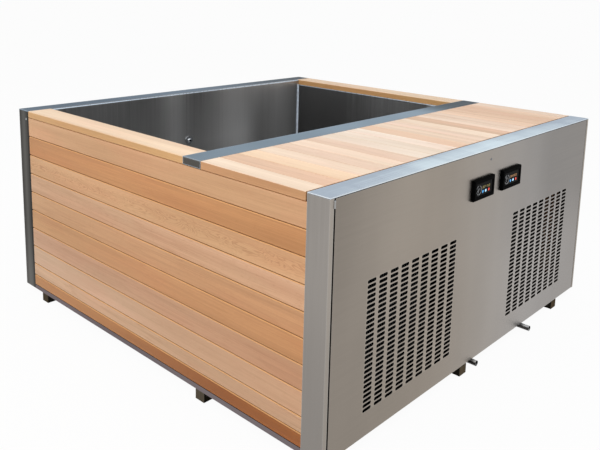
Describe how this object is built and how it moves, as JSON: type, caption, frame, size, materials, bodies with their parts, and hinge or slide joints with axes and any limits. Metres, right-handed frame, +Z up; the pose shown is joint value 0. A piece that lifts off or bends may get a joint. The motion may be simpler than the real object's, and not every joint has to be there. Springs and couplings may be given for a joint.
{
  "type": "cold plunge tub",
  "caption": "Free-standing cold plunge tub: steel basin in a cedar-clad steel frame, with a machine bay under a lift-off cedar deck and a hinged slotted service panel.",
  "frame": {"origin": "centre of the overall box, on the floor under the feet", "axes": "+Z up, the slotted machine panel faces -Y, +X to the right when facing that panel"},
  "size_m": [2, 2.038, 0.94],
  "materials": {
    "frame_steel": "brushed along the width, soft sheen",
    "dark_steel": "brushed, darker from the room it mirrors",
    "tub_steel": "brushed, dark inside the basin",
    "fittings": "polished",
    "cedar_side": "oiled cedar with fine grain",
    "cedar_lower": "oiled cedar, darker at the foot",
    "cedar_cap": "oiled cedar",
    "cedar_deck": "pale cedar slats",
    "foam": "closed-cell foam, matt",
    "zinc": "zinc-plated",
    "black_plastic": "moulded, fine texture",
    "screen": "gloss cover over a display",
    "fins": "black-coated fins",
    "black_metal": "black enamel",
    "rubber_pads": "matt rubber",
    "copper": "bright drawn tube",
    "white_plastic": "smooth moulded",
    "lever_red": "dipped grip"
  },
  "bodies": {
    "tub": {"base_side_rails": "dark_steel", "base_beams": "dark_steel", "feet": "dark_steel", "front_posts": "frame_steel", "rear_posts": "dark_steel", "front_rail": "frame_steel", "rear_rail": "dark_steel", "cross_bar": "dark_steel", "bulkhead": "dark_steel", "rear_panel": "frame_steel", "rear_screws": "zinc", "side_uprights": "dark_steel", "cladding_left": "cedar_side", "cladding_right": "cedar_side", "lower_boards": "cedar_lower", "caps": "cedar_cap", "tub_floor": "tub_steel", "tub_walls": "tub_steel", "tub_corners": "tub_steel", "insulation": "foam", "bay_floor": "zinc", "deck_bearers": "zinc", "door_magnets": "black_plastic", "hinge_fixed": "frame_steel", "hinge_pins": "zinc", "condenser_coils": "fins", "fan_shrouds": "dark_steel", "fan_motors": "black_metal", "compressors": "black_metal", "compressor_pads": "rubber_pads", "heat_exchangers": "fittings", "refrigerant_lines": "copper", "pump": "black_metal", "filter_housing": "white_plastic", "filter_cap": "black_plastic", "water_pipes": "white_plastic", "electrical_box": "white_plastic", "cable_gland": "black_plastic", "jet_body": "fittings", "suction_cover": "fittings", "overflow_cover": "fittings", "floor_drain": "fittings", "drain_pipe": "fittings", "drain_valve": "zinc", "overflow_pipe": "fittings"},
    "service_panel": {"door_panel": "frame_steel", "door_stiffeners": "zinc", "door_strikers": "zinc", "hinge_moving": "frame_steel", "panel_lock": "zinc", "controller_frames": "black_plastic", "controller_screens": "screen", "controller_backs": "black_plastic"},
    "deck": {"deck_slats": "cedar_deck", "deck_battens": "cedar_deck", "deck_screws": "zinc"},
    "left_fan": {"fan_rotor_left": "zinc"},
    "right_fan": {"fan_rotor_right": "zinc"},
    "nozzle": {"jet_nozzle": "fittings"},
    "valve_lever": {"drain_lever": "lever_red"}
  },
  "joints": [
    {"name": "service_panel_hinge", "type": "hinge", "parent": "tub", "child": "service_panel", "pos_m": [-0.978, -0.981, 0.44], "axis": [0, 0, -1], "range_deg": [0, 110]},
    {"name": "deck_lift", "type": "slide", "parent": "tub", "child": "deck", "axis": [0, 0, 1], "range_m": [0, 0.25]},
    {"name": "left_fan_spin", "type": "hinge", "parent": "tub", "child": "left_fan", "pos_m": [-0.515, -0.796, 0.376], "axis": [0, 1, 0], "continuous": true},
    {"name": "right_fan_spin", "type": "hinge", "parent": "tub", "child": "right_fan", "pos_m": [0.515, -0.796, 0.376], "axis": [0, 1, 0], "continuous": true},
    {"name": "jet_aim", "type": "hinge", "parent": "tub", "child": "nozzle", "pos_m": [-0.045, 0.907, 0.662], "axis": [0, 0, 1], "range_deg": [-20, 20]},
    {"name": "drain_lever_turn", "type": "hinge", "parent": "tub", "child": "valve_lever", "pos_m": [0.415, -0.651, 0.147], "axis": [0, 0, 1], "range_deg": [0, 90]}
  ]
}
